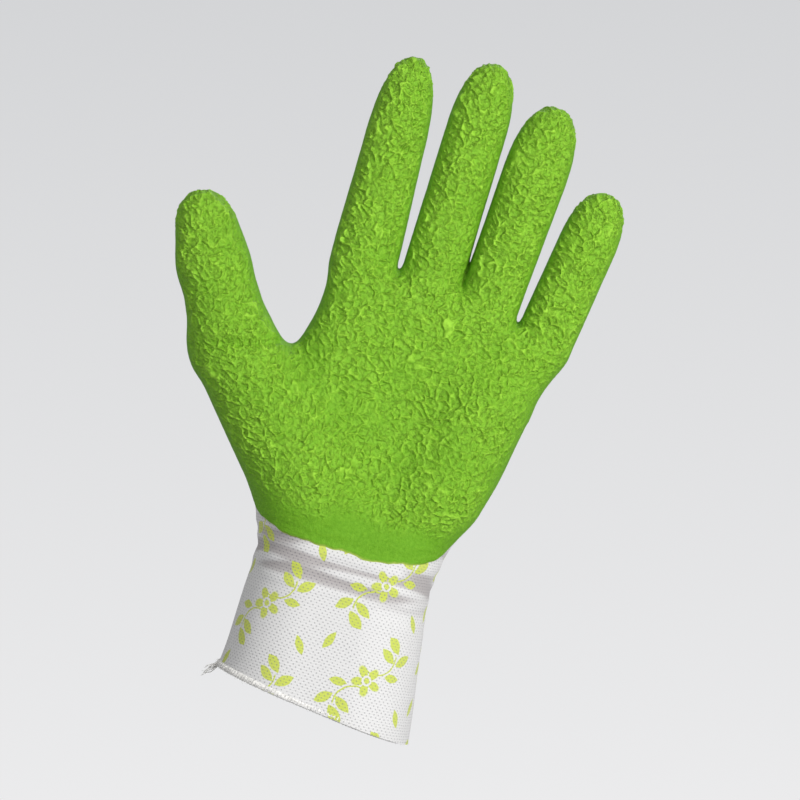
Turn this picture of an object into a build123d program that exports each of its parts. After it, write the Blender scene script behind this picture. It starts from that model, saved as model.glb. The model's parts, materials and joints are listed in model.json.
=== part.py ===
"""Left-hand gardening glove in its worn shape: a knitted liner with a latex-dipped palm.

Millimetres. The origin is the centre of the wrist opening, +Z runs up the arm to the fingertips,
the palm faces -Y and the thumb points to -X. The knit and the coating are each cut into stations
at the creases where the glove bends, and a soft fold fills every crease.
"""

import os
from dataclasses import dataclass
from math import cos, radians, sin, tan

from build123d import *

# Layers, counted inwards from the coating's outer surface
COATING = 1.0
BOND_GAP = 0.05
KNIT = 0.9
KNIT_FACE = COATING + BOND_GAP
KNIT_LINING = KNIT_FACE + KNIT

# Folds: a wedge that opens towards the palm, with a narrow waist at the bending axis
WAIST = 0.4
SIDE_ROOM = 0.4
FREE_SIDE = 0.2
REACH = 45.0
PARTING = 0.05

# The dip: the latex reaches this far round the sides, and its edge slopes up from the wrist
DIP_SIDE = 3.0
DIP_LOW_Z = 56.0
DIP_LOW_Y = -24.0
DIP_SLOPE = 1.05
TIP_COVER = 11.0

# A fingertip, as shares of the neck's radius: at half its height, and at its round nose
PAD_SHARE = 0.88
NOSE_SHARE = 0.66

# The arm's outline, hem to knuckles: height, centre x, half width, half depth
ARM_STATIONS = (
    (-8.0, 0.8, 38.4, 29.0),
    (20.0, -0.2, 35.6, 26.5),
    (45.0, -1.8, 33.6, 24.6),
    (62.0, -1.4, 35.6, 23.0),
    (85.0, 1.6, 41.0, 19.0),
    (112.0, 4.4, 44.0, 16.0),
    (135.0, 7.8, 44.6, 14.2),
    (149.0, 9.6, 45.0, 10.6),
)
CORNER_SHARE = 0.96

# Wrist and cuff
WRIST_Z = 45.0
WRIST_BEND = 40.0
HEM_SLOPE = -7.3
HEM_HEIGHT = 4.0
HEM_EXTRA = 0.7
YARN_ROOT = (-38.2, 0.0, 5.0)
YARN_ENDS = ((-43.0, -1.5, 0.5), (-41.0, 1.2, -2.5), (-44.5, 0.6, 3.4))
YARN_RADIUS = 0.45
ELASTIC_RINGS = 6
ELASTIC_FIRST_Z = 11.0
ELASTIC_PITCH = 4.0
ELASTIC_SIZE = 0.5

# The ball of the thumb: a tapered mass from inside the wrist to the thumb's first crease
BALL_START = Vector(-20, -6, 76)
BALL_START_RADIUS = 21.0
BALL_END_EXTRA = 0.8

# Webs between neighbouring fingers: the crotch's height, and half the web's depth
WEBS = {("index", "middle"): 161.0, ("middle", "ring"): 160.0, ("ring", "little"): 153.0}
WEB_DEPTH = 8.0
WEB_ROOT_Z = 130.0

os.makedirs("parts", exist_ok=True)


@dataclass
class Digit:
    """A finger or the thumb: a tapered round stall that leans in the plane of the palm."""

    name: str
    base: Vector  # centre of its first crease
    lean: float  # degrees from +Z, positive towards +X
    length: float  # first crease to tip
    creases: tuple  # heights of its creases above the first
    bends: tuple  # how far each crease bends, in degrees
    back_bend: float  # how far the first crease bends backwards
    base_radius: float
    neck_radius: float
    tip_height: float  # height of the elliptical tip
    across: float = 0.0  # degrees that the bending turns from the palm towards +X
    root: float = 32.0  # how far the stall runs down inside the palm

    @property
    def along(self):
        return Vector(sin(radians(self.lean)), 0, cos(radians(self.lean)))

    @property
    def side(self):
        return Vector(cos(radians(self.lean)), 0, -sin(radians(self.lean)))

    @property
    def reach(self):
        """How far to each side of its centre line a cut has to go."""
        return max(self.base_radius, self.neck_radius) + SIDE_ROOM

    @property
    def profile_plane(self):
        return Plane(origin=self.base, x_dir=Vector(0, 1, 0), z_dir=self.side)

    @property
    def hinge(self):
        """The bending axis. The four fingers share +X, so that they curl side by side."""
        if not self.across:
            return Vector(1, 0, 0)
        turn = radians(self.across)
        return self.side * cos(turn) + Vector(0, sin(turn), 0)

    @property
    def fold_plane(self):
        """The plane in which the digit bends: x towards its back, y up along it."""
        up = Vector(0, 0, 1) if not self.across else self.along
        return Plane(origin=self.base, x_dir=up.cross(self.hinge), z_dir=self.hinge)


DIGITS = (
    Digit("index", Vector(-24.5, 0, 168), -0.9, 68.2, (0, 22, 45), (70, 75, 50), 10, 11.9, 11.1, 34),
    Digit("middle", Vector(1.2, 0, 169), 1.5, 72.4, (0, 22, 47), (70, 75, 50), 10, 11.0, 11.0, 27),
    Digit("ring", Vector(24.2, 0, 165), 4.0, 67.1, (0, 21, 44), (70, 75, 50), 10, 11.0, 11.6, 27),
    Digit("little", Vector(47.9, 0, 158), 8.5, 49.1, (0, 16.5, 33), (62, 70, 45), 10, 10.6, 10.3, 20, 0, 22),
    Digit("thumb", Vector(-62, -6, 118), -27.0, 56.6, (0, 29), (40, 60), 10, 15.0, 11.8, 24, 40, 8),
)
STATIONS = {3: ("base", "middle", "tip"), 2: ("base", "tip")}


def save(piece, name):
    """Labels a finished piece and writes it to its own STEP file."""
    piece.part.label = name
    export_step(piece.part, f"parts/{name}.step")


def crease_line(height, half_bend, half_back_bend, rise, reach=REACH):
    """One edge of a fold in the bending plane: below the crease for rise -1, above it for +1."""
    palm_rise = WAIST + reach * tan(radians(half_bend))
    back_rise = WAIST + reach * tan(radians(half_back_bend))
    return [
        (-reach, height + rise * palm_rise),
        (0, height + rise * WAIST),
        (reach, height + rise * back_rise),
    ]


def digit_crease(digit, number, rise, clearance=0.0):
    """The crease line of one of a digit's joints, with a degree or two more than it bends."""
    half_bend = digit.bends[number] / 2 + 1
    half_back_bend = (digit.back_bend if number == 0 else 0) / 2 + 1
    height = digit.creases[number] + rise * clearance
    return crease_line(height, half_bend, half_back_bend, rise, digit.reach)


def digit_body(digit, inset):
    """The whole digit as a closed solid, inset from the coating's surface."""
    base, neck = digit.base_radius - inset, digit.neck_radius - inset
    shoulder = digit.length - digit.tip_height
    nose = NOSE_SHARE * digit.neck_radius
    nose_z = digit.length - nose
    pad = PAD_SHARE * digit.neck_radius
    outline = [
        (0, digit.length - inset),
        (0, -digit.root),
        (base, -digit.root),
        (base, 0),
        (neck, shoulder),
        (pad - inset, shoulder + digit.tip_height / 2),
        (nose - inset, nose_z),
    ]
    with BuildPart() as body:
        with BuildSketch(digit.profile_plane):
            with BuildLine():
                Polyline(*outline)
                CenterArc((0, nose_z), nose - inset, 0, 90)
            make_face()
        revolve(axis=Axis(digit.base, digit.along))
    return body.part


def digit_root(digit, inset):
    """The part of a digit inside the hand, up to its first crease."""
    with BuildPart() as root:
        with Locations(Plane(origin=digit.base, x_dir=digit.side, z_dir=digit.along)):
            Cylinder(digit.base_radius - inset, digit.root, align=(Align.CENTER, Align.CENTER, Align.MAX))
    return root.part


def prism(plane, outline, half_width):
    """A block with the given outline in a plane, reaching the same way to both sides of it."""
    with BuildPart() as block:
        with BuildSketch(plane):
            with BuildLine():
                Polyline(*outline, close=True)
            make_face()
        extrude(amount=half_width, both=True)
    return block.part


def digit_layer(digit, face, lining, outline, coated):
    """One layer of a digit between two creases; the coating leaves the digit's back bare."""
    outer, inner = digit_body(digit, face), digit_body(digit, lining)
    length = prism(digit.fold_plane, outline, REACH)
    bare_top = digit.length - TIP_COVER
    back = [(DIP_SIDE, -REACH), (REACH, -REACH), (REACH, bare_top), (DIP_SIDE, bare_top)]
    bare_back = prism(digit.fold_plane, back, REACH)
    with BuildPart() as layer:
        add(outer)
        add(length, mode=Mode.INTERSECT)
        add(inner, mode=Mode.SUBTRACT)
        if coated:
            add(bare_back, mode=Mode.SUBTRACT)
    return layer


def digit_station(digit, number):
    """The knit and the coating of one station, from its own crease to the next or to the tip."""
    outline = digit_crease(digit, number, 1, PARTING)
    if number + 1 < len(digit.creases):
        outline += reversed(digit_crease(digit, number + 1, -1, PARTING))
    else:
        outline += [(digit.reach, digit.length + 1), (-digit.reach, digit.length + 1)]
    station = f"{digit.name}_{STATIONS[len(digit.creases)][number]}"
    save(digit_layer(digit, KNIT_FACE, KNIT_LINING, outline, False), f"{station}_knit")
    save(digit_layer(digit, 0, COATING, outline, True), f"{station}_coating")


def digit_fold(digit, number):
    """The soft fold of knit and coating that fills one crease."""
    outline = digit_crease(digit, number, -1) + digit_crease(digit, number, 1)[::-1]
    knit = digit_layer(digit, KNIT_FACE, KNIT_LINING, outline, False)
    coating = digit_layer(digit, 0, COATING, outline, True)
    with BuildPart() as fold:
        add(knit.part)
        add(coating.part)
    save(fold, f"{digit.name}_{STATIONS[len(digit.creases)][number]}_fold")


def arm_body(inset):
    """Cuff, wrist and hand up to the knuckles as one closed solid."""
    top = ARM_STATIONS[-1][0]
    with BuildPart() as body:
        for height, centre, half_width, half_depth in ARM_STATIONS:
            with BuildSketch(Plane.XY.offset(min(height, top - inset))):
                with Locations((centre, 0)):
                    width, depth = 2 * (half_width - inset), 2 * (half_depth - inset)
                    RectangleRounded(width, depth, CORNER_SHARE * depth / 2)
        loft()
    return body.part


def ball_body(inset):
    """The ball of the thumb: a cone with a round end that surrounds the thumb's first crease."""
    thumb = DIGITS[-1]
    start_radius = BALL_START_RADIUS - inset
    end_radius = thumb.base_radius + BALL_END_EXTRA - inset
    axis = thumb.base - BALL_START
    side = Vector(0, 1, 0)
    with BuildPart() as body:
        with BuildSketch(Plane(origin=BALL_START, x_dir=side, z_dir=side.cross(axis))):
            with BuildLine():
                Polyline((0, axis.length + end_radius), (0, 0), (start_radius, 0), (end_radius, axis.length))
                CenterArc((0, axis.length), end_radius, 0, 90)
            make_face()
        revolve(axis=Axis(BALL_START, axis))
    return body.part


def hand_body(inset, webs):
    """Wrist to first creases: hand, ball of the thumb, the digits' roots and the webs."""
    arm, ball = arm_body(inset), ball_body(inset)
    roots = [digit_root(digit, inset) for digit in DIGITS]
    placed = {digit.name: digit for digit in DIGITS}
    with BuildPart() as body:
        add(arm)
        add(ball)
        for root in roots:
            add(root)
        if webs:
            for (left, right), crotch in WEBS.items():
                start, end = placed[left].base.X, placed[right].base.X
                with Locations(((start + end) / 2, 0, WEB_ROOT_Z)):
                    height = crotch - inset - WEB_ROOT_Z
                    Box(end - start, 2 * (WEB_DEPTH - inset), height, align=(Align.CENTER, Align.CENTER, Align.MIN))
    return body.part


def outside_hand():
    """Everything beyond the hand's own creases: below the wrist's, above each digit's first."""
    half_bend = WRIST_BEND / 2 + 1
    wrist = crease_line(WRIST_Z, half_bend, half_bend, 1)
    blocks = [prism(Plane.YZ, [*wrist, (REACH, -REACH), (-REACH, -REACH)], 2 * REACH)]
    for digit in DIGITS:
        crease = crease_line(-PARTING, digit.bends[0] / 2 + 1, digit.back_bend / 2 + 1, -1)
        above = prism(digit.fold_plane, [*crease, (REACH, 2 * REACH), (-REACH, 2 * REACH)], REACH)
        across = digit.hinge if digit.across else digit.side
        with BuildPart() as block:
            add(above)
            with Locations(Plane(origin=digit.base, x_dir=across, z_dir=digit.along)):
                Box(2 * (digit.base_radius + FREE_SIDE), 4 * REACH, 4 * REACH, mode=Mode.INTERSECT)
        blocks.append(block.part)
    return blocks


def dip_region():
    """The space that the dipping bath reached: in front of a sloping edge and of the sides' line."""
    top = DIP_LOW_Z + (DIP_SIDE - DIP_LOW_Y) / DIP_SLOPE
    low_z = DIP_LOW_Z + (-REACH - DIP_LOW_Y) / DIP_SLOPE
    return prism(Plane.YZ, [(-REACH, low_z), (DIP_SIDE, top), (DIP_SIDE, 300), (-REACH, 300)], 200)


def palm():
    """The knit and the coating of the hand, from the wrist's crease to the digits' first creases."""
    outside, under = hand_body(0, True), hand_body(COATING, True)
    face, lining = hand_body(KNIT_FACE, True), hand_body(KNIT_LINING, False)
    beyond, dipped = outside_hand(), dip_region()
    with BuildPart() as knit:
        add(face)
        add(lining, mode=Mode.SUBTRACT)
        add(beyond, mode=Mode.SUBTRACT)
    save(knit, "palm_knit")
    with BuildPart() as coating:
        add(outside)
        add(under, mode=Mode.SUBTRACT)
        add(beyond, mode=Mode.SUBTRACT)
        add(dipped, mode=Mode.INTERSECT)
    save(coating, "palm_coating")


def arm_layer(face, lining, outline):
    """A ring of the arm's knit, cut by an outline in the YZ plane."""
    outer, inner = arm_body(face), arm_body(lining)
    length = prism(Plane.YZ, outline, 2 * REACH)
    with BuildPart() as layer:
        add(outer)
        add(inner, mode=Mode.SUBTRACT)
        add(length, mode=Mode.INTERSECT)
    return layer


def below_hem(height):
    """A block that holds everything below the sloping hem, raised by a height."""
    slope = Plane.XY.rotated((0, -HEM_SLOPE, 0)).offset(height)
    with BuildPart(slope) as block:
        Box(200, 200, 60, align=(Align.CENTER, Align.CENTER, Align.MAX))
    return block.part


def cuff():
    """The cuff's knit, its turned hem, the hem's overlock thread and the elastic laid inside."""
    half_bend = WRIST_BEND / 2 + 1
    low, high = crease_line(WRIST_Z, half_bend, half_bend, -1), crease_line(WRIST_Z, half_bend, half_bend, 1)
    save(arm_layer(KNIT_FACE, KNIT_LINING, low + high[::-1]), "wrist_fold")

    top = crease_line(WRIST_Z - PARTING, half_bend, half_bend, -1)
    tube = [*top, (REACH, -REACH), (-REACH, -REACH)]
    open_end, hem_top, thread_top = below_hem(0), below_hem(HEM_HEIGHT), below_hem(HEM_HEIGHT - 1)

    knit = arm_layer(KNIT_FACE, KNIT_LINING, tube)
    with BuildPart() as cuff_knit:
        add(knit.part)
        add(hem_top, mode=Mode.SUBTRACT)
    save(cuff_knit, "cuff_knit")

    turned = arm_layer(KNIT_FACE - HEM_EXTRA, KNIT_LINING, tube)
    with BuildPart() as cuff_hem:
        add(turned.part)
        add(hem_top, mode=Mode.INTERSECT)
        add(open_end, mode=Mode.SUBTRACT)
    save(cuff_hem, "cuff_hem")

    wrap = arm_layer(KNIT_FACE - HEM_EXTRA - PARTING - ELASTIC_SIZE, KNIT_FACE - HEM_EXTRA - PARTING, tube)
    with BuildPart() as hem_thread:
        add(wrap.part)
        add(thread_top, mode=Mode.INTERSECT)
        add(open_end, mode=Mode.SUBTRACT)
    save(hem_thread, "hem_thread")

    corner = Vector(*YARN_ROOT)
    with BuildPart() as yarn:
        for end in YARN_ENDS:
            with BuildLine():
                strand = Line(corner, Vector(*end))
            with BuildSketch(Plane(origin=corner, z_dir=strand % 0)):
                Circle(YARN_RADIUS)
            sweep(path=strand)
    save(yarn, "hem_yarn_tail")

    inside = arm_layer(KNIT_LINING + PARTING, KNIT_LINING + PARTING + ELASTIC_SIZE, tube)
    with BuildPart() as bands:
        for ring in range(ELASTIC_RINGS):
            with Locations((0, 0, ELASTIC_FIRST_Z + ring * ELASTIC_PITCH)):
                Box(200, 200, ELASTIC_SIZE)
    with BuildPart() as elastic:
        add(inside.part)
        add(bands.part, mode=Mode.INTERSECT)
    save(elastic, "wrist_elastic")


for digit in DIGITS:
    for number in range(len(digit.creases)):
        digit_station(digit, number)
        digit_fold(digit, number)
palm()
cuff()
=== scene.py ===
"""A left-hand gardening glove, palm to the camera: white printed mesh knit dipped in green latex.

Lengths are in millimetres until a mesh is made, and +Z runs from the wrist to the fingertips.
The glove is one smooth skin made from a distance field. The skin is split into pieces that each
cross one joint at most, and every piece is built twice: as knit, and as latex where it was dipped.
"""

import itertools
import json
import math

import bpy
import numpy as np
import openvdb
from mathutils import Matrix, Vector

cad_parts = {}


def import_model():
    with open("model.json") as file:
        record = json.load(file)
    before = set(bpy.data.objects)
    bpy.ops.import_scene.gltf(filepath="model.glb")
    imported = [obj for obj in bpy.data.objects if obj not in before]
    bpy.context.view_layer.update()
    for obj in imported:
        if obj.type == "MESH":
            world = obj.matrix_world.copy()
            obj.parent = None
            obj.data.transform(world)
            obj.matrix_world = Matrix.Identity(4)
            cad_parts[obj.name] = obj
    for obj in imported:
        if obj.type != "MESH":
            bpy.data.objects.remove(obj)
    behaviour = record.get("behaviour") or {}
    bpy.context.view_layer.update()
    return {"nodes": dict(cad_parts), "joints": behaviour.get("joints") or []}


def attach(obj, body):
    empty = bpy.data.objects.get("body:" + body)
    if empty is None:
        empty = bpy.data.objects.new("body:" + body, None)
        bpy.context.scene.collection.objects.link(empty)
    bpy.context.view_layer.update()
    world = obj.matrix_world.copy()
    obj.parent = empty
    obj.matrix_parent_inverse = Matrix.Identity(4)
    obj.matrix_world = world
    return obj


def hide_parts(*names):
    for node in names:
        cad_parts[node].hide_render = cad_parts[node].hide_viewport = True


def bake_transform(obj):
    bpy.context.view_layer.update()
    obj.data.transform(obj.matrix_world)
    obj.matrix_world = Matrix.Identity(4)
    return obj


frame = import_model()

MM = 0.001
JOINTS = {joint["name"]: joint for joint in frame["joints"]}

# ---------------------------------------------------------------- dimensions

VOXEL = 1.0
KNIT_LEVEL = -0.6
KNIT_THICKNESS = 0.9
LATEX_INSIDE = -0.95
# The latex is meshed and kept a little outside the dip's edge, where it sinks into the knit
LATEX_MESHED = -1.6
LATEX_KEPT = -0.9
LATEX_TUCK = 0.35
LATEX_THINNEST = 0.1
# The box that the skin is searched for in
SKIN_BOX = ((-100.0, -34.0, -16.0), (72.0, 34.0, 248.0))

# The arm and palm, seen from the front: height, left edge, right edge, half depth
ARM = (
    (-16, -38.2, 40.0, 29.5),
    (0, -37.3, 38.3, 28.6),
    (12, -35.9, 36.2, 27.4),
    (28, -35.5, 34.2, 25.9),
    (46, -34.8, 31.9, 24.6),
    (60, -36.2, 32.4, 23.2),
    (75, -38.0, 36.6, 20.6),
    (95, -39.5, 43.6, 18.0),
    (112, -39.8, 46.4, 16.4),
    (125, -39.6, 49.2, 15.4),
    (136, -36.0, 51.2, 14.4),
    (150, -34.6, 54.0, 12.0),
)
ARM_CORNER = 0.96
# Where the palm ends between the fingers: x and height
PALM_TOP = ((-45, 150), (-24, 153), (-10, 157.5), (1, 156), (13, 156.5), (24, 153), (35, 149.5), (50, 144))

# Swellings: the two ends and their radii, and for the thumb's knuckle a centre and a radius
BALL = ((-20, -6, 76), (-62, -6, 118), 21.0, 15.8)
HEEL = ((24, -7, 86), (31, -6, 118), 15.5, 14.0)
KNUCKLE = ((-76.8, -6, 144.0), 12.2)

# How widely the parts of the skin run into each other
TOP_BLEND = 9.0
HEEL_BLEND = 8.0
BALL_BLEND = 9.0
KNUCKLE_BLEND = 5.0
THUMB_BLEND = 4.0
FINGER_BLEND = 1.6
PALM_BLEND = 7.0

# How blunt the tips are: 2 is an ellipse
TIP_ROUND = 2.35
# A digit's width over its depth, how far below its first joint it shrinks away, and where it ends
DIGIT_FLATNESS = 1.04
FINGER_SINK = (10.0, 32.0)
THUMB_SINK = (4.0, 22.0)
DIGIT_ROOT = -34.0
# Digits: lean in degrees, tip height, radius at the first crease and at the shoulder, tip length
DIGITS = {
    "index": (-0.9, 236.2, 12.2, 11.2, 35),
    "middle": (1.5, 241.3, 11.2, 11.0, 27),
    "ring": (4.2, 232.0, 11.2, 11.8, 26),
    "little": (8.8, 206.6, 10.7, 10.6, 21),
    "thumb": (-28.1, 168.0, 15.1, 12.2, 23),
}

# Each digit's pieces: the plane that parts it from the palm (a point and the way the digit goes,
# in x and z), how far past it the piece's joint stretch ends, then for each later joint the cut
# before it and the ends of the piece's joint stretch, as distances from that joint
PARTS = {
    "index": ((-10.6, 162.6), (-0.16, 0.987), 16.6, ((-10.3, -9.3, 9.3), (-11.6, -8.0, 8.0))),
    "middle": ((1.2, 162.6), (0.0, 1.0), 16.8, ((-10.3, -9.3, 9.3), (-13.0, -8.0, 8.0))),
    "ring": ((13.2, 161.8), (0.27, 0.963), 13.8, ((-9.0, -8.0, 8.2), (-12.2, -8.0, 8.0))),
    "little": ((35.4, 154.8), (0.30, 0.954), 11.8, ((-6.4, -5.5, 5.7), (-7.9, -7.8, 8.0))),
    "thumb": ((-43.6, 125.0), (-0.8, 0.6), 20.0, ((-9.0, -8.2, 9.0),)),
}
THUMB_WEB_X = -43.4
PART_MARGIN = 0.8
STATIONS = {3: ("base", "middle", "tip"), 2: ("base", "tip")}
# The cuff and the palm come before the digits in the list of pieces
FIRST_DIGIT_PIECE = 2

WRIST_Z = 45.0
WRIST_STRETCH = 13.0
CUFF_TOP = 30.0
HEM_SLOPE = -0.128
# The line that the hem is rolled round: its height over the hem and its distance in from the skin
HEM_CORE = (0.8, 1.25)
HEM_ROLL_RADII = (0.95, 1.25)

# The dip's edge and the smooth band above it
DIP_FRONT_Y = -24.0
DIP_FRONT_Z = 56.3
DIP_RISE = 0.42
DIP_SIDE_Y = 3.6
DIP_SIDE_DRAW = 11.0
TIP_WRAP = 10.5
SMOOTH_BAND = (8.0, 19.0)
# How often the drawn-in rows of knit at the wrist vary along x, y and z
GATHER_GRAIN = (0.03, 0.04, 0.21)
# How often the cuff's flare varies, and by how much
FLARE_GRAIN = (0.06, 0.06, 0.03)
FLARE = 0.6

# Creases and swellings round the thumb: two ends in the front view (x and z), rise and width
CREASES = (
    ((-75.5, 113.0), (-42.5, 124.5), -1.5, 1.5),
    ((-77.0, 118.5), (-46.0, 127.0), 0.8, 2.6),
    ((-91.0, 139.5), (-66.0, 147.5), 0.5, 2.6),
    ((-92.0, 145.2), (-66.0, 152.0), -0.5, 1.4),
    ((-88.0, 133.5), (-60.0, 141.0), -0.5, 1.5),
)
# Hollows of the palm: centre and reach in x and z, depth
HOLLOWS = (((30, 139), (15.0, 8.0), 1.6), ((4, 108), (14.0, 20.0), 1.8))
# The dips in the front of a finger at its joints: depth and reach
JOINT_DIP = (0.55, 2.4)

# The front is laid flat for the latex's cells by adding these shares of y to x and z
FLAT_SHEAR = (0.45, -0.6)
# The modelled cell walls: cell size and wall width; the drawn ones: cells per centimetre, wall
# width, and how much of them is left out
WIDE_WALLS = (3.5, 0.28)
FINE_WALLS = (2.2, 0.25)
DRAWN_WALLS = ((3.1, 0.06, 0.44), (5.0, 0.08, 0.47))

# Screen colours
# LATEX_DARK and LATEX_BRIGHT carry the latex's grain together with painted shade in its hollows and smooth
# parts and painted highlight on its crests
LATEX_DARK = (92, 150, 18)
LATEX_BRIGHT = (166, 222, 68)
LATEX_FRINGE = (186, 200, 96)
KNIT_WHITE = (208, 207, 206)
# KNIT_SHADE is painted shade in the hollows of the drawn-in rows at the wrist, partly the bunched knit's
# own grey
KNIT_SHADE = (166, 161, 160)
# KNIT_HOLE is painted shade: the glove's inside seen through the knit's holes
KNIT_HOLE = (126, 124, 128)
PRINT_GREEN = (186, 198, 68)
YARN_WHITE = (238, 236, 232)
YARN_ELASTIC = (226, 224, 220)
FLOOR_TONES = ((178, 179, 181), (184, 185, 187))

# The knit in centimetres: hole spacing, and the print's repeat with a sprig (x, y, turn) or a
# leaf (x, y, turn, length) at each place; a sprig's leaves sit round its stems at (angle along
# the stem, distance out from it, lean, length)
HOLE_PITCH = (0.19, 0.2)
PRINT_EDGE = 0.16
PRINT_REPEAT = (4.2, 3.4)
PRINT_SHIFT = (0.4, 0.2)
SPRIGS = ((2.1, 1.7, 30),)
LOOSE_LEAVES = ((0.5, 2.75, 60, 0.8), (3.7, 0.6, 115, 0.75))
SPRIG_LEAVES = ((56, 0.36, 40, 0.78), (62, -0.34, 140, 0.76), (14, 0.3, 45, 0.66), (98, 0.0, 90, 0.86))
STEM_WIDTH = 0.07
FLOWER_RADIUS = 0.62
STEM_RADIUS = 0.74
STEM_SPREAD = 68
# Millimetres that set the digits' knit off from each other and from the palm's
DIGIT_KNIT_SHIFT = (60, 150)

BACKDROP_LOW = (236, 236, 237)
BACKDROP_HIGH = (211, 212, 214)
BACKDROP_REACH = 0.13
FLOOR_Z = -0.13
FLOOR_RADIUS = 0.4
AMBIENT = 0.45
# Lights: place, what they are turned to, width and power
LIGHTS = {
    "key": ((0.75, -0.95, 0.45), (0, 0, 0.06), 0.4, 15.5),
    "fill": ((-0.7, -1.0, 0.6), (0, 0, 0.08), 0.9, 5.5),
    "rim": ((0.1, 0.8, 1.0), (0, 0, 0.12), 0.8, 3.0),
}

# The photograph's framing: the camera's distance, the picture's width at the glove, its centre
# on the glove and the glove's tilt in the picture
CAMERA_DISTANCE = 1200.0
SENSOR_WIDTH = 36.0
PICTURE_WIDTH = 290.9
PICTURE_CENTRE = (1.84, 114.5)
PICTURE_TILT = math.radians(15.5)
PICTURE_UP = (-math.sin(PICTURE_TILT), 0.0, math.cos(PICTURE_TILT))


def smoothstep(low, high, value):
    t = np.clip((value - low) / (high - low), 0.0, 1.0)
    return t * t * (3.0 - 2.0 * t)


def smooth_min(a, b, k):
    h = np.clip(0.5 + 0.5 * (b - a) / k, 0.0, 1.0)
    return b + (a - b) * h - k * h * (1.0 - h)


def smooth_max(a, b, k):
    return -smooth_min(-a, -b, k)


# ---------------------------------------------------------------- noise


def noise(p, seed):
    """Gradient noise from -1 to 1 at points p, the same on every run."""
    cell = np.floor(p).astype(np.int64)
    f = p - cell
    fade = f * f * f * (f * (f * 6.0 - 15.0) + 10.0)
    total = np.zeros(len(p))
    for corner in range(8):
        step = np.array([corner & 1, corner >> 1 & 1, corner >> 2 & 1])
        k = cell + step
        h = (k[:, 0] * 73856093) ^ (k[:, 1] * 19349663) ^ (k[:, 2] * 83492791) ^ (seed * 2654435761)
        h = (h ^ (h >> 13)) * 1274126177 & 0xFFFFFFFF
        h = h ^ (h >> 16)
        turn = (h & 1023) * (math.tau / 1024)
        up = ((h >> 10) & 1023) * (2.0 / 1023) - 1.0
        flat = np.sqrt(np.maximum(1.0 - up * up, 0.0))
        d = f - step
        dot = d[:, 0] * flat * np.cos(turn) + d[:, 1] * flat * np.sin(turn) + d[:, 2] * up
        w = np.where(step, fade, 1.0 - fade).prod(axis=1)
        total += w * dot
    return total * 1.5


def warp(p, size, amount, seed):
    """Points p pushed about by smooth noise."""
    moved = p.copy()
    for axis in range(3):
        moved[:, axis] += amount * noise(p / size, seed + axis)
    return moved


def facing(p):
    """Places on the front of the glove, laid flat: sheared so that the sides and tips keep detail."""
    return np.stack([p[:, 0] + FLAT_SHEAR[0] * p[:, 1], p[:, 2] + FLAT_SHEAR[1] * p[:, 1]], axis=1)


def cell_walls(place, size, seed):
    """Distance in millimetres to the nearest wall between random flat cells about size across."""
    q = place / size
    home = np.floor(q).astype(np.int64)
    nearest = np.full(len(place), 9.0)
    second = np.full(len(place), 9.0)
    for step in itertools.product((-1, 0, 1), repeat=2):
        k = home + step
        h = (k[:, 0] * 73856093) ^ (k[:, 1] * 19349663) ^ (seed * 2654435761)
        h = (h ^ (h >> 13)) * 1274126177 & 0xFFFFFFFF
        h = h ^ (h >> 16)
        spot = np.stack([h & 1023, (h >> 10) & 1023], axis=1) / 1023.0
        away = np.linalg.norm(k + spot - q, axis=1)
        second = np.minimum(second, np.maximum(nearest, away))
        nearest = np.minimum(nearest, away)
    return (second - nearest) * size / 2


def wall_ridges(place, walls, seed):
    """1 on the walls of a set of cells, falling to 0 beside them."""
    size, width = walls
    return np.exp(-((cell_walls(place, size, seed) / width) ** 2))


def gather_noise(p):
    """The drawn-in rows of knit at the wrist, as noise that the relief and the shading share."""
    return noise(p * np.array(GATHER_GRAIN), 40)


def flare_push(p):
    """How far the cuff's free end stands out or in at points p."""
    return FLARE * noise(p * np.array(FLARE_GRAIN), 42)


# ---------------------------------------------------------------- the skin's distance field


class Digit:
    """A finger or the thumb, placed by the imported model's joints."""

    def __init__(self, name):
        lean, tip_z, self.base_radius, self.neck_radius, self.tip_length = DIGITS[name]
        self.name = name
        self.stations = STATIONS[2 if name == "thumb" else 3]
        self.joints = [JOINTS[f"{name}_{station}_bend"] for station in self.stations]
        self.base = np.array(self.joints[0]["pos_m"]) / MM
        turn = math.radians(lean)
        self.along = np.array([math.sin(turn), 0.0, math.cos(turn)])
        self.side = np.array([math.cos(turn), 0.0, -math.sin(turn)])
        self.length = (tip_z - self.base[2]) / math.cos(turn)

    def height(self, p):
        return (p - self.base) @ self.along

    def distance(self, p):
        q = p - self.base
        h = q @ self.along
        across = q @ self.side
        rho = np.sqrt(across**2 + (q[:, 1] * DIGIT_FLATNESS) ** 2)
        shoulder = self.length - self.tip_length
        share = np.clip(h / shoulder, 0.0, 1.0)
        radius = self.base_radius + (self.neck_radius - self.base_radius) * share
        sink = THUMB_SINK if self.name == "thumb" else FINGER_SINK
        stall = rho - radius * (1.0 - 0.7 * smoothstep(*sink, -h))
        up = h - shoulder
        a, b = rho / self.neck_radius, np.maximum(up, 0.0) / self.tip_length
        size = np.maximum(a**TIP_ROUND + b**TIP_ROUND, 1e-6) ** (1.0 / TIP_ROUND)
        slope_across = (a / size) ** (TIP_ROUND - 1) / self.neck_radius
        slope_along = (b / size) ** (TIP_ROUND - 1) / self.tip_length
        cap = (size - 1.0) / np.maximum(np.hypot(slope_across, slope_along), 1e-3)
        d = np.where(up > 0, cap, stall)
        return np.maximum(d, DIGIT_ROOT - h)


FINGERS = [Digit(name) for name in DIGITS if name != "thumb"]
THUMB = Digit("thumb")
ALL_DIGITS = [*FINGERS, THUMB]


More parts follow.
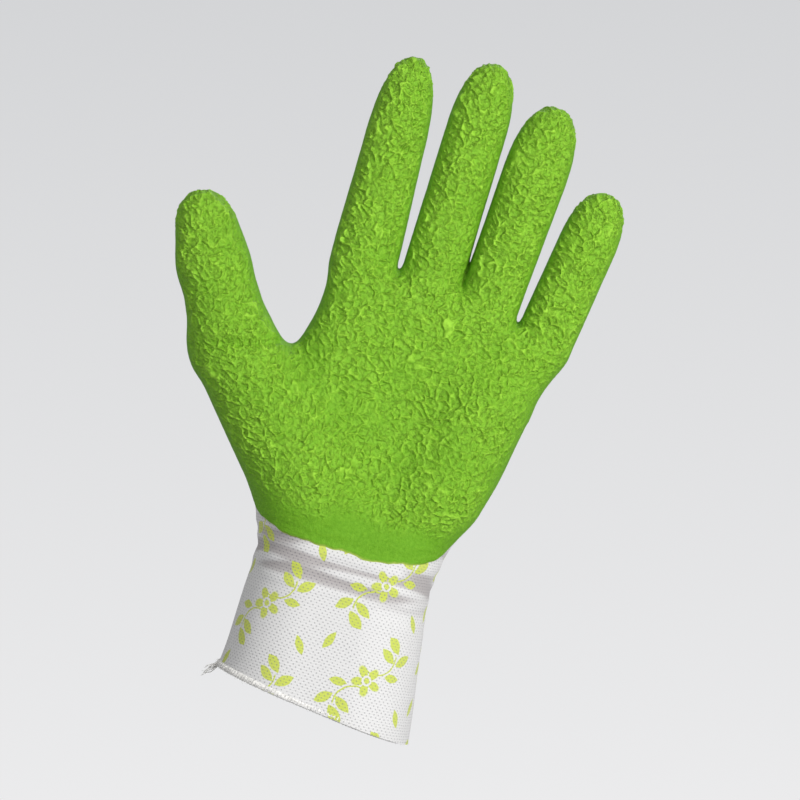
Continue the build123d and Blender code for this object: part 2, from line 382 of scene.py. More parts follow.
def smooth_table(columns):
    """A smooth curve through a table's columns, sampled every millimetre."""
    rows = np.array(columns, float)
    z = np.arange(rows[0, 0], rows[-1, 0] + 1)
    kernel = np.exp(-0.5 * (np.arange(-12, 13) / 4.0) ** 2)
    kernel /= kernel.sum()
    curves = [z]
    for column in rows.T[1:]:
        values = np.interp(z, rows[:, 0], column)
        curves.append(np.convolve(np.pad(values, 12, mode="edge"), kernel, mode="valid"))
    return curves


ARM_CURVES = smooth_table(ARM)
TOP_CURVES = smooth_table(PALM_TOP)


def arm_section(z):
    """Centre, half width and half depth of the arm at heights z."""
    left = np.interp(z, ARM_CURVES[0], ARM_CURVES[1])
    right = np.interp(z, ARM_CURVES[0], ARM_CURVES[2])
    depth = np.interp(z, ARM_CURVES[0], ARM_CURVES[3])
    return (left + right) / 2, (right - left) / 2, depth


def arm_distance(p):
    centre, half_width, depth = arm_section(p[:, 2])
    corner = ARM_CORNER * depth
    x = np.abs(p[:, 0] - centre) - (half_width - corner)
    y = np.abs(p[:, 1]) - (depth - corner)
    outside = np.sqrt(np.maximum(x, 0) ** 2 + np.maximum(y, 0) ** 2)
    tube = outside + np.minimum(np.maximum(x, y), 0) - corner
    top = p[:, 2] - np.interp(p[:, 0], TOP_CURVES[0], TOP_CURVES[1])
    return smooth_max(tube, top, TOP_BLEND)


def capsule_distance(p, start, end, start_radius, end_radius):
    start, end = np.array(start, float), np.array(end, float)
    axis = end - start
    t = np.clip((p - start) @ axis / (axis @ axis), 0.0, 1.0)
    radius = start_radius + (end_radius - start_radius) * t
    return np.linalg.norm(p - start - t[:, None] * axis, axis=1) - radius


def skin_distance(p):
    """Signed distance to the glove's outer surface, negative inside."""
    palm = arm_distance(p)
    palm = smooth_min(palm, capsule_distance(p, *HEEL), HEEL_BLEND)
    palm = smooth_min(palm, capsule_distance(p, *BALL), BALL_BLEND)
    knuckle = np.linalg.norm(p - np.array(KNUCKLE[0]), axis=1) - KNUCKLE[1]
    thumb = smooth_min(THUMB.distance(p), knuckle, KNUCKLE_BLEND)
    palm = smooth_min(palm, thumb, THUMB_BLEND)
    fingers = FINGERS[0].distance(p)
    for finger in FINGERS[1:]:
        fingers = smooth_min(fingers, finger.distance(p), FINGER_BLEND)
    return smooth_min(palm, fingers, PALM_BLEND)


def skin_normals(p):
    """The field's unit gradient at points p."""
    eps = 0.15
    grad = np.empty_like(p)
    for axis in range(3):
        step = np.zeros(3)
        step[axis] = eps
        grad[:, axis] = skin_distance(p + step) - skin_distance(p - step)
    return grad / np.maximum(np.linalg.norm(grad, axis=1), 1e-9)[:, None]


def project(p, rounds):
    """Points moved onto the skin."""
    for _ in range(rounds):
        normal = skin_normals(p)
        p = p - skin_distance(p)[:, None] * normal
    return p


# ---------------------------------------------------------------- the skin's mesh


def hem_height(x):
    return HEM_SLOPE * x


def sides_of(quads):
    """The four sides of every quad, as pairs of points: first sides first."""
    return np.concatenate([quads[:, [i, (i + 1) % 4]] for i in range(4)])


def relax(p, quads, rounds):
    """Points moved along the surface until their quads are more even."""
    edges = np.unique(np.sort(sides_of(quads), axis=1), axis=0)
    count = np.bincount(edges.ravel(), minlength=len(p)).astype(float)
    for _ in range(rounds):
        total = np.zeros_like(p)
        for axis in range(3):
            total[:, axis] = np.bincount(edges[:, 0], p[edges[:, 1], axis], len(p))
            total[:, axis] += np.bincount(edges[:, 1], p[edges[:, 0], axis], len(p))
        p = project(0.4 * p + 0.6 * total / count[:, None], 1)
    return p


def subdivide(p, quads):
    """Cuts every quad into four, with the new points on the surface."""
    edges, where = np.unique(np.sort(sides_of(quads), axis=1), axis=0, return_inverse=True)
    where = where.reshape(4, -1) + len(p)
    middle = np.arange(len(quads)) + len(p) + len(edges)
    new = project(np.concatenate([p[edges].mean(axis=1), p[quads].mean(axis=1)]), 1)
    points = np.concatenate([p, new])
    small = [np.stack([quads[:, i], where[i], middle, where[i - 1]], axis=1) for i in range(4)]
    return points, np.concatenate(small)


def skin_mesh():
    """Points and quads of the skin, open at the hem."""
    low, high = np.array(SKIN_BOX)
    counts = np.ceil((high - low) / VOXEL).astype(int)
    axes = [low[i] + VOXEL * np.arange(counts[i]) for i in range(3)]
    field = np.empty(counts, np.float32)
    for index, x in enumerate(axes[0]):
        y, z = np.meshgrid(axes[1], axes[2], indexing="ij")
        p = np.stack([np.full(y.size, x), y.ravel(), z.ravel()], axis=1)
        field[index] = np.clip(skin_distance(p), -3, 3).reshape(counts[1], counts[2])
    grid = openvdb.FloatGrid(3.0)
    grid.copyFromArray(field)
    points, quads = grid.convertToQuads(0.0)
    p = project(points.astype(float) * VOXEL + low, 2)
    quads = quads.astype(np.int64)
    p = relax(p, quads, 3)
    above = (p[quads][:, :, 2] > hem_height(p[quads][:, :, 0])).any(axis=1)
    quads = quads[above]
    used, quads = np.unique(quads, return_inverse=True)
    p, quads = p[used], quads.reshape(-1, 4)
    sunk = p[:, 2] < hem_height(p[:, 0])
    p[sunk, 2] = hem_height(p[sunk, 0])
    a, b, c = p[quads[0, 0]], p[quads[0, 1]], p[quads[0, 2]]
    if np.cross(b - a, c - a) @ skin_normals(a[None])[0] < 0:
        quads = quads[:, ::-1]
    return p, quads


# ---------------------------------------------------------------- masks and relief


def parting_height(digit, p):
    """How far a point lies beyond the plane that parts a digit from the palm."""
    (x, z), (nx, nz) = PARTS[digit.name][:2]
    height = (p[:, 0] - x) * nx + (p[:, 2] - z) * nz
    return np.minimum(height, THUMB_WEB_X - p[:, 0]) if digit.name == "thumb" else height


def dip_depth(p):
    """Distance inside the dipped region, positive where there is latex."""
    y = p[:, 1] + 1.1 * noise(p / 14.0, 5)
    edge = DIP_FRONT_Z + DIP_RISE * (y - DIP_FRONT_Y) + 0.04 * np.maximum(y + 14.0, 0) ** 2
    wave = 0.8 * noise(p / 11.0, 6) + 0.35 * noise(p / 3.2, 7)
    side = DIP_SIDE_Y - DIP_SIDE_DRAW * (1.0 - smoothstep(78.0, 112.0, p[:, 2])) - y + 0.5 * wave
    depth = smooth_min((p[:, 2] - edge) * 0.8 + wave, side, 5.0)
    for digit in ALL_DIGITS:
        own = digit.distance(p) < 4.0
        wrap = digit.height(p) - (digit.length - TIP_WRAP) + wave
        depth = np.where(own, smooth_max(depth, wrap, 3.0), depth)
    thumb = THUMB.distance(p) < 4.0
    return np.where(thumb, np.maximum(depth, 2.0 - (p[:, 1] + 6.0)), depth)


def groove(p, start, end, width):
    """1 along a crease between two points of the front view, falling to 0 at its width."""
    a, b = np.array(start, float), np.array(end, float)
    q = p[:, [0, 2]]
    axis = b - a
    t = np.clip((q - a) @ axis / (axis @ axis), 0.0, 1.0)
    gap = np.linalg.norm(q - a - t[:, None] * axis, axis=1) / width
    shape = np.exp(-gap * gap) * np.sin(np.pi * np.clip(t * 0.9 + 0.05, 0, 1)) ** 0.5
    return shape * smoothstep(6.0, 14.0, -p[:, 1])


def crinkle_share(p, normal):
    """Where the latex is crinkled: the front, away from the sides, the webs and the bottom band."""
    front = smoothstep(0.15, 0.75, -normal[:, 1])
    edge = DIP_FRONT_Z + DIP_RISE * (p[:, 1] - DIP_FRONT_Y)
    band = smoothstep(*SMOOTH_BAND, p[:, 2] - edge + 2.5 * noise(p / 16.0, 9))
    tips = np.zeros(len(p))
    for digit in ALL_DIGITS:
        own = digit.distance(p) < 3.0
        tips = np.maximum(tips, own * smoothstep(-16.0, -7.0, digit.height(p) - digit.length))
    fingers = smoothstep(118.0, 176.0, p[:, 2])
    patchy = 0.84 + 0.22 * fingers + 0.4 * noise(p / 13.0, 10)
    return np.clip(np.maximum(front, 0.7 * tips) * band * patchy, 0.0, 1.2)


def latex_relief(p, normal):
    """Height of the latex over the skin, and how ridged it is, from 0 to 1."""
    share = crinkle_share(p, normal)
    place = facing(warp(warp(p, 6.0, 1.3, 20), 2.0, 0.45, 24)) * [1.0, 1.15]
    wide = wall_ridges(place, WIDE_WALLS, 30)
    fine = wall_ridges(place, FINE_WALLS, 31)
    broken = smoothstep(-0.55, 0.35, noise(p / 3.1, 33))
    broken_fine = smoothstep(-0.3, 0.5, noise(p / 2.1, 34))
    ridge = np.clip(np.maximum(wide * broken, 0.5 * fine * broken_fine), 0.0, 1.0)
    lumps = 0.16 * noise(p / 1.9, 35) + 0.16 * noise(p / 5.0, 38)
    height = share * (0.85 * ridge - 0.3 + lumps)
    folds = noise(p * np.array([0.035, 0.1, 0.42]), 36) * smoothstep(0.2, 0.8, -normal[:, 1])
    height += (1.0 - np.clip(share, 0, 1)) * (0.22 * folds + 0.05 * noise(p / 1.3, 37))
    return height, ridge * np.clip(share, 0, 1)


def skin_relief(p):
    """Relief that the knit and the latex share: creases, hollows, drawn-in rows and the cuff's flare."""
    height = np.zeros(len(p))
    for start, end, rise, width in CREASES:
        height += rise * groove(p, start, end, width)
    for digit in FINGERS:
        near = digit.distance(p) < 3.0
        for joint in digit.joints[1:]:
            depth, reach = JOINT_DIP
            away = (p[:, 2] - joint["pos_m"][2] / MM) / reach
            height -= depth * np.exp(-(away**2)) * smoothstep(-2.0, 8.0, -p[:, 1]) * near
    for (x, z), (reach_x, reach_z), depth in HOLLOWS:
        hollow = np.exp(-(((p[:, 0] - x) / reach_x) ** 2 + ((p[:, 2] - z) / reach_z) ** 2))
        height -= depth * hollow * (p[:, 1] < 0)
    gather = smoothstep(33.0, 43.0, p[:, 2]) * (1.0 - smoothstep(56.0, 66.0, p[:, 2]))
    height += gather * (0.9 * gather_noise(p) - 0.2)
    return height + (1.0 - smoothstep(4.0, 22.0, p[:, 2])) * flare_push(p)


# ---------------------------------------------------------------- cutting the skin into pieces


def level(digit, p):
    """Height along a digit, by which its later cuts are placed."""
    return digit.height(p) if digit.name == "thumb" else p[:, 2]


def joint_level(digit, number):
    point = np.array(digit.joints[number]["pos_m"]) / MM
    return level(digit, point[None])[0]


class Piece:
    """A stretch of the glove that crosses one joint at most, and its bodies; only a piece without a
    stretch is attached to one.
    """

    def __init__(self, name, bodies, start=None, end=None):
        self.name, self.bodies, self.start, self.end = name, bodies, start, end

    def attach(self, obj):
        if self.start is None:
            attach(obj, self.bodies[0])
        else:
            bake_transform(obj)


def digit_pieces(digit):
    (x, z), (nx, nz), turned, later = PARTS[digit.name]
    point, way = np.array([x, 0.0, z]), np.array([nx, 0.0, nz])
    first = f"{digit.name}_{digit.stations[0]}"
    pieces = [Piece(first, ("palm", first), point + PART_MARGIN * way, point + turned * way)]
    way = digit.along if digit.name == "thumb" else np.array([0.0, 0.0, 1.0])
    for number, (_, low, high) in enumerate(later, 1):
        joint = np.array(digit.joints[number]["pos_m"]) / MM
        bodies = tuple(f"{digit.name}_{digit.stations[i]}" for i in (number - 1, number))
        pieces.append(Piece(bodies[1], bodies, joint + low * way, joint + high * way))
    return pieces


def all_pieces():
    wrist = np.array([0.0, 0.0, WRIST_Z])
    stretch = np.array([0.0, 0.0, WRIST_STRETCH])
    pieces = [Piece("cuff", ("cuff",)), Piece("palm", ("cuff", "palm"), wrist - stretch, wrist + stretch)]
    for digit in ALL_DIGITS:
        pieces += digit_pieces(digit)
    return pieces


def zones(p):
    """The index in all_pieces() of the piece that each point belongs to."""
    zone = np.where(p[:, 2] < CUFF_TOP, 0, 1)
    nearest = np.stack([digit.distance(p) for digit in ALL_DIGITS]).argmin(axis=0)
    first = FIRST_DIGIT_PIECE
    for index, digit in enumerate(ALL_DIGITS):
        own = (nearest == index) & (parting_height(digit, p) > 0)
        station = np.zeros(len(p), int)
        for number, (cut, _, _) in enumerate(PARTS[digit.name][3], 1):
            station += level(digit, p) > joint_level(digit, number) + cut
        zone = np.where(own, first + station, zone)
        first += len(digit.stations)
    return zone


# ---------------------------------------------------------------- meshes


def vertex_normals(p, quads, guide):
    """Each point's normal from the quads round it, or from guide where they have no area."""
    cross = np.cross(p[quads[:, 2]] - p[quads[:, 0]], p[quads[:, 3]] - p[quads[:, 1]])
    total = 0.02 * guide
    for axis in range(3):
        total[:, axis] += np.bincount(quads.ravel(), np.repeat(cross[:, axis], 4), len(p))
    return total / np.maximum(np.linalg.norm(total, axis=1), 1e-12)[:, None]


def new_object(name, points, faces, material):
    """A mesh object from points in millimetres and quads."""
    mesh = bpy.data.meshes.new(name)
    mesh.vertices.add(len(points))
    mesh.vertices.foreach_set("co", (points * MM).astype(np.float32).ravel())
    mesh.loops.add(faces.size)
    mesh.loops.foreach_set("vertex_index", faces.astype(np.int32).ravel())
    mesh.polygons.add(len(faces))
    mesh.polygons.foreach_set("loop_start", np.arange(0, faces.size, 4, dtype=np.int32))
    mesh.update(calc_edges=True)
    mesh.polygons.foreach_set("use_smooth", np.full(len(mesh.polygons), True))
    mesh.materials.append(material)
    obj = bpy.data.objects.new(name, mesh)
    bpy.context.scene.collection.objects.link(obj)
    return obj


def shell(name, layers, quads, material, rest, values, corners=None):
    """A closed thin solid between two layers of the same quads: outer, inner, outer's normals."""
    outer, inner, normals = layers
    used, local = np.unique(quads, return_inverse=True)
    local = local.reshape(-1, 4)
    count = len(used)
    directed = sides_of(local)
    backward = directed[:, 1] * count + directed[:, 0]
    border = directed[~np.isin(backward, directed[:, 0] * count + directed[:, 1])]
    rim = np.stack([border[:, 1], border[:, 0], border[:, 0] + count, border[:, 1] + count], axis=1)
    faces = np.concatenate([local, local[:, ::-1] + count, rim])
    points = np.concatenate([outer[used], inner[used]])
    obj = new_object(name, points, faces, material)
    mesh = obj.data
    both = np.concatenate([normals[used], -normals[used]])
    mesh.normals_split_custom_set_from_vertices(both.astype(np.float32))
    place = mesh.attributes.new("rest", "FLOAT_VECTOR", "POINT")
    place.data.foreach_set("vector", np.tile(rest[used] * 0.1, (2, 1)).astype(np.float32).ravel())
    for label, value in values:
        layer = mesh.attributes.new(label, "FLOAT", "POINT")
        layer.data.foreach_set("value", np.tile(value[used], 2).astype(np.float32))
    if corners is not None:
        spare = np.zeros((len(rim), 4, 2))
        uv = mesh.uv_layers.new(name="knit")
        every = np.concatenate([corners, corners[:, ::-1], spare]).astype(np.float32)
        uv.data.foreach_set("uv", every.ravel())
    return obj


def arm_outline(z, count, inset):
    """The arm's outline at height z, from the back round the front: its centre, x from it, and y."""
    centre, half_width, depth = (value[0] for value in arm_section(np.array([z])))
    corner = ARM_CORNER * depth
    turn = np.linspace(-np.pi, np.pi, count)
    x = np.sign(np.sin(turn)) * (half_width - corner) + (corner - inset) * np.sin(turn)
    y = -np.sign(np.cos(turn)) * (depth - corner) - (corner - inset) * np.cos(turn)
    return centre, x, y


def lengths_along(x, y):
    return np.concatenate([[0], np.cumsum(np.hypot(np.diff(x), np.diff(y)))])


def arm_girth():
    """Angle around the arm against distance round it, from the front, at the wrist."""
    _, half_width, depth = (value[0] for value in arm_section(np.array([WRIST_Z])))
    _, x, y = arm_outline(WRIST_Z, 721, 0.0)
    x = np.concatenate([[-1e-6], x, [1e-6]])
    y = np.concatenate([[depth], y, [depth]])
    angle = np.arctan2(x, -y)
    length = lengths_along(x, y)
    angle = np.concatenate([[angle[0] - 0.2], angle, [angle[-1] + 0.2]])
    length = np.concatenate([[-0.2 * depth], length, [length[-1] + 0.2 * depth]])
    return angle, length - np.interp(0.0, angle, length), half_width


def knit_coordinates(p, quads, zone):
    """Each quad corner's place on the knit in centimetres: round the arm or digit, and along it."""
    centre, half_width, _ = arm_section(p[:, 2])
    angles, lengths, reference = arm_girth()
    angle = np.arctan2(p[:, 0] - centre, -p[:, 1])
    corner_angle = angle[quads]
    turns = np.round((corner_angle - corner_angle[:, :1]) / math.tau)
    girth = np.interp(corner_angle - turns * math.tau, angles, lengths)
    wide = half_width[quads] / reference
    uv = np.stack([girth * wide, p[quads][:, :, 2]], axis=2)
    first = FIRST_DIGIT_PIECE
    shift, rise = DIGIT_KNIT_SHIFT
    for index, digit in enumerate(ALL_DIGITS):
        own = (zone >= first) & (zone < first + len(digit.stations))
        q = p[quads[own]] - digit.base
        turn = np.arctan2(q @ digit.side, -q[:, :, 1])
        turn -= np.round((turn - turn[:, :1]) / math.tau) * math.tau
        uv[own] = np.stack([turn * digit.neck_radius + shift * index, q @ digit.along + rise], axis=2)
        first += len(digit.stations)
    return uv * 0.1


# ---------------------------------------------------------------- materials


def colour(red, green, blue):
    """A screen colour from 0 to 255 as a shader colour."""
    shares = [c / 255 for c in (red, green, blue)]
    linear = [c / 12.92 if c < 0.04 else ((c + 0.055) / 1.055) ** 2.4 for c in shares]
    return (*linear, 1.0)


class Graph:
    """A node tree whose nodes are added by short calls that take sockets or numbers."""

    def __init__(self, owner):
        self.owner = owner
        self.tree = owner.node_tree

    def put(self, socket, value):
        if isinstance(value, bpy.types.NodeSocket):
            self.tree.links.new(value, socket)
        else:
            socket.default_value = value

    def add(self, kind, inputs=None, **settings):
        node = self.tree.nodes.new(kind)
        for key, value in settings.items():
            setattr(node, key, value)
        for key, value in (inputs or {}).items():
            self.put(node.inputs[key], value)
        return node

    def math(self, operation, *values):
        return self.add("ShaderNodeMath", dict(enumerate(values)), operation=operation).outputs[0]

    def vector(self, operation, inputs):
        return self.add("ShaderNodeVectorMath", inputs, operation=operation).outputs[0]

    def split(self, vector):
        """The x, y and z of a vector."""
        return self.add("ShaderNodeSeparateXYZ", {0: vector}).outputs

    def step(self, value, low, high):
        reach = {"Value": value, "From Min": low, "From Max": high}
        return self.add("ShaderNodeMapRange", reach, interpolation_type="SMOOTHSTEP").outputs["Result"]

    def mix(self, share, a, b):
        return self.add("ShaderNodeMix", {0: share, 6: a, 7: b}, data_type="RGBA").outputs[2]

    def attribute(self, name):
        return self.add("ShaderNodeAttribute", attribute_name=name)

    def noise(self, place, scale, detail, output="Factor"):
        node = self.add("ShaderNodeTexNoise", {"Vector": place, "Scale": scale, "Detail": detail})
        return node.outputs[1 if output == "Color" else 0]

    def shade(self, inputs):
        for key, value in inputs.items():
            self.put(self.tree.nodes["Principled BSDF"].inputs[key], value)

    def bump(self, height, depth, strength):
        inputs = {"Height": height, "Distance": depth, "Strength": strength}
        return self.add("ShaderNodeBump", inputs).outputs["Normal"]


def new_material(name):
    material = bpy.data.materials.new(name)
    material.use_nodes = True
    return Graph(material)


def latex_material():
    """Green latex: painted highlight on crests, painted shade between them, creamy where it thins at its
    edge.
    """
    g = new_material("green_latex")
    g.shade({"Roughness": 0.55, "Specular IOR Level": 0.2})
    place = g.attribute("rest").outputs["Vector"]
    ridge = g.attribute("ridge").outputs["Fac"]
    dip = g.attribute("dip").outputs["Fac"]
    fine = g.noise(place, 9.0, 4.0)
    grain = g.noise(place, 30.0, 3.0)
    wander = g.vector("SCALE", {0: g.noise(place, 6.0, 3.0, "Color"), "Scale": 0.24})
    xyz = g.split(g.vector("ADD", {0: place, 1: wander}))
    across = g.math("MULTIPLY_ADD", xyz[1], FLAT_SHEAR[0], xyz[0])
    up = g.math("MULTIPLY_ADD", xyz[1], FLAT_SHEAR[1], xyz[2])
    flat = g.add("ShaderNodeCombineXYZ", {0: across, 1: up}).outputs[0]
    walls = []
    for scale, width, left_out in DRAWN_WALLS:
        settings = {"feature": "DISTANCE_TO_EDGE", "voronoi_dimensions": "2D"}
        cells = g.add("ShaderNodeTexVoronoi", {"Vector": flat, "Scale": scale}, **settings)
        line = g.math("SUBTRACT", 1.0, g.step(cells.outputs["Distance"], 0.0, width))
        broken = g.step(g.noise(place, 1.4 * scale, 2.0), left_out, left_out + 0.1)
        walls.append(g.math("MULTIPLY", line, broken))
    crinkled = g.attribute("crinkle").outputs["Fac"]
    wall = g.math("MULTIPLY", g.math("MAXIMUM", *walls), crinkled)
    # Crests set the bump and a painted highlight: the colour is lighter on them and darker between them as
    # painted shade
    crest_and_highlight = g.math("MAXIMUM", g.math("MULTIPLY", ridge, 0.9), g.math("MULTIPLY", wall, 0.7))
    speck = g.math("MULTIPLY_ADD", g.math("SUBTRACT", grain, 0.5), 0.8, g.math("SUBTRACT", fine, 0.5))
    # Crinkled parts are painted lighter, so the smooth parts carry painted shade
    smooth_shade_lift = g.math("MULTIPLY", crinkled, 0.18)
    tone = g.math("ADD", g.math("MULTIPLY_ADD", crest_and_highlight, 0.36, 0.2), smooth_shade_lift)
    shade = g.math("MULTIPLY_ADD", speck, 0.45, tone)
    base = g.mix(g.step(shade, 0.0, 1.0), colour(*LATEX_DARK), colour(*LATEX_BRIGHT))
    fringe = g.math("SUBTRACT", 1.0, g.step(g.math("MULTIPLY_ADD", fine, 0.8, dip), 0.35, 1.5))
    base = g.mix(fringe, base, colour(*LATEX_FRINGE))
    small = g.math("MULTIPLY_ADD", g.math("SUBTRACT", fine, 0.5), 0.4, g.math("MULTIPLY", grain, 0.35))
    g.shade({"Base Color": base, "Normal": g.bump(g.math("ADD", crest_and_highlight, small), 0.001, 1.0)})
    return g.owner


def turned(g, place, x, y, turn, half_width=1, half_height=1):
    """The x and y of a place on the knit, seen from a turned and scaled spot on it."""
    inputs = {
        "Vector": place,
        "Location": (x, y, 0),
        "Rotation": (0, 0, math.radians(turn)),
        "Scale": (half_width, half_height, 1),
    }
    return g.split(g.add("ShaderNodeMapping", inputs, vector_type="TEXTURE").outputs[0])


def polar(g, xyz):
    """The angle round the middle and the distance from it."""
    angle = g.math("ARCTAN2", xyz[1], xyz[0])
    square = g.math("MULTIPLY_ADD", xyz[0], xyz[0], g.math("MULTIPLY", xyz[1], xyz[1]))
    return angle, g.math("SQRT", square)


def leaf(g, place, x, y, turn, length, width):
    """Above 0 inside a leaf with two pointed ends."""
    xyz = turned(g, place, x, y, turn, length / 2, width / 2)
    lens = g.math("MULTIPLY_ADD", g.math("MULTIPLY", xyz[0], xyz[0]), -1.0, 1.0)
    return g.math("SUBTRACT", lens, g.math("ABSOLUTE", xyz[1]))


def flower(g, place, x, y, turn, radius):
    """Above 0 inside five round petals that stand clear of a small centre."""
    angle, across = polar(g, turned(g, place, x, y, turn, radius, radius))
    wave = g.math("ABSOLUTE", g.math("COSINE", g.math("MULTIPLY", angle, 2.5)))
    petal = g.math("POWER", wave, 0.55)
    outline = g.math("SUBTRACT", petal, across)
    gap = g.math("SUBTRACT", g.math("ABSOLUTE", g.math("SUBTRACT", across, 0.24)), 0.045)
    return g.math("MINIMUM", outline, g.math("MULTIPLY", gap, 4.0))


def stem(g, place, x, y, turn, radius, spread):
    """Above 0 along a thin arc of a circle."""
    angle, across = polar(g, turned(g, place, x, y, turn))
    off = g.math("ABSOLUTE", g.math("SUBTRACT", across, radius))
    line = g.math("SUBTRACT", STEM_WIDTH / 2, off)
    inside = g.math("SUBTRACT", math.radians(spread), g.math("ABSOLUTE", angle))
    return g.math("MINIMUM", g.math("MULTIPLY", line, 12.0), inside)


def sprig(g, place, x, y, turn):
    """A flower between two curved stems, each with leaves along it and at its end."""
    c, s = math.cos(math.radians(turn)), math.sin(math.radians(turn))
    shapes = [flower(g, place, x, y, turn + 20, FLOWER_RADIUS)]
    for flip in (1, -1):
        centre = (STEM_RADIUS * flip, STEM_RADIUS * flip)
        middle = (x + c * centre[0] - s * centre[1], y + s * centre[0] + c * centre[1])
        toward = turn - 90 * flip
        shapes.append(stem(g, place, *middle, toward, STEM_RADIUS, STEM_SPREAD))
        for around, out, lean, length in SPRIG_LEAVES:
            angle = math.radians(toward + around)
            far = STEM_RADIUS + out
            spot = (middle[0] + far * math.cos(angle), middle[1] + far * math.sin(angle))
            shapes.append(leaf(g, place, *spot, toward + around + lean, length, length * 0.5))
    return shapes


def knit_print(g, uv):
    """How much print colour there is: repeated sprigs, each column half a repeat off the last."""
    wide, tall = PRINT_REPEAT
    xyz = g.split(uv)
    round_arm = g.math("ADD", xyz[0], PRINT_SHIFT[0])
    column = g.math("FLOOR", g.math("DIVIDE", round_arm, wide))
    across = g.math("FLOORED_MODULO", round_arm, wide)
    rise = g.math("MULTIPLY_ADD", column, 0.5 * tall, g.math("ADD", xyz[1], PRINT_SHIFT[1]))
    up = g.math("FLOORED_MODULO", rise, tall)
    place = g.add("ShaderNodeCombineXYZ", {0: across, 1: up}).outputs[0]
    shapes = []
    for x, y, turn in SPRIGS:
        shapes += sprig(g, place, x, y, turn)
    for x, y, turn, length in LOOSE_LEAVES:
        shapes.append(leaf(g, place, x, y, turn, length, length * 0.4))
    total = shapes[0]
    for shape in shapes[1:]:
        total = g.math("MAXIMUM", total, shape)
    return g.step(total, 0.0, PRINT_EDGE)


def knit_material():
    """White mesh knit: the print, holes painted dark, and painted shade, partly its own grey, where the
    wrist draws it in.
    """
    g = new_material("printed_mesh_knit")
    g.shade({"Roughness": 0.85, "Sheen Weight": 0.25})
    uv = g.add("ShaderNodeUVMap", uv_map="knit").outputs[0]
    rest = g.attribute("rest").outputs["Vector"]
    wander = g.vector("SUBTRACT", {0: g.noise(rest, 6.0, 2.0, "Color"), 1: (0.5, 0.5, 0.5)})
    uv = g.vector("ADD", {0: uv, 1: g.vector("SCALE", {0: wander, "Scale": 0.05})})
    xyz = g.split(uv)
    columns = g.math("COSINE", g.math("MULTIPLY", xyz[0], math.tau / HOLE_PITCH[0]))
    rows = g.math("COSINE", g.math("MULTIPLY", xyz[1], math.tau / HOLE_PITCH[1]))
    lattice = g.math("MULTIPLY", columns, rows)
    uneven = g.noise(rest, 1.3, 3.0)
    hole = g.step(g.math("MULTIPLY_ADD", uneven, 0.4, lattice), 0.7, 1.05)
    loops = g.math("SINE", g.math("MULTIPLY", xyz[1], 2 * math.tau / HOLE_PITCH[1]))
    # Painted shade in the hollows of the drawn-in rows, partly the bunched knit's own grey
    fold_shade = g.step(g.attribute("gather").outputs["Fac"], 0.1, 1.0)
    white = g.mix(fold_shade, colour(*KNIT_WHITE), colour(*KNIT_SHADE))
    printed = g.mix(g.math("MULTIPLY", knit_print(g, uv), 0.94), white, colour(*PRINT_GREEN))
    # The holes are painted dark as shade from the glove's inside, more so in the drawn-in rows
    dark = g.mix(0.8, printed, colour(*KNIT_HOLE))
    share = g.math("MULTIPLY", hole, g.math("MULTIPLY_ADD", fold_shade, 0.35, 0.65))
    base = g.mix(share, printed, dark)
    fuzz = g.math("MULTIPLY", g.noise(rest, 30.0, 3.0), 0.5)
    height = g.math("SUBTRACT", g.math("MULTIPLY_ADD", loops, 0.22, fuzz), hole)
    g.shade({"Base Color": base, "Normal": g.bump(height, 0.0003, 0.45)})
    return g.owner


def yarn_material(name, base, scale):
    """Matt yarn, a little darker in specks; scale is how many specks there are to a metre."""
    g = new_material(name)
    g.shade({"Roughness": 0.9, "Sheen Weight": 0.3})
    place = g.add("ShaderNodeTexCoord").outputs["Object"]
    speck = g.noise(place, scale, 3.0)
    tone = g.mix(g.step(speck, 0.3, 0.7), colour(*(0.86 * c for c in base)), colour(*base))
    g.shade({"Base Color": tone, "Normal": g.bump(speck, 0.0003, 0.6)})
    return g.owner


def floor_material():
    g = new_material("pale_floor")
    place = g.add("ShaderNodeTexCoord").outputs["Object"]
    low, high = FLOOR_TONES
    tone = g.mix(g.noise(place, 3.0, 2.0), colour(*low), colour(*high))
    g.shade({"Roughness": 0.8, "Base Color": tone})
    return g.owner


# ---------------------------------------------------------------- the hem and its threads


def hem_line(count, height, inset):
    """Points spaced evenly round the wrist opening, and the way out from each."""
    centre, x, y = arm_outline(3.0, 2001, inset)
    x = centre + x
    length = lengths_along(x, y)
    spots = np.linspace(0, length[-1], count, endpoint=False)
    x, y = np.interp(spots, length, x), np.interp(spots, length, y)
    line = np.stack([x, y, hem_height(x) + height], axis=1)
    step = np.roll(line, -1, axis=0) - np.roll(line, 1, axis=0)
    out = np.stack([step[:, 1], -step[:, 0], np.zeros(count)], axis=1)
    out /= np.linalg.norm(out, axis=1)[:, None]
    away = np.sign((out * (line - [centre, 0, 0])).sum(axis=1))[:, None]
    return line + out * away * flare_push(line)[:, None], out * away


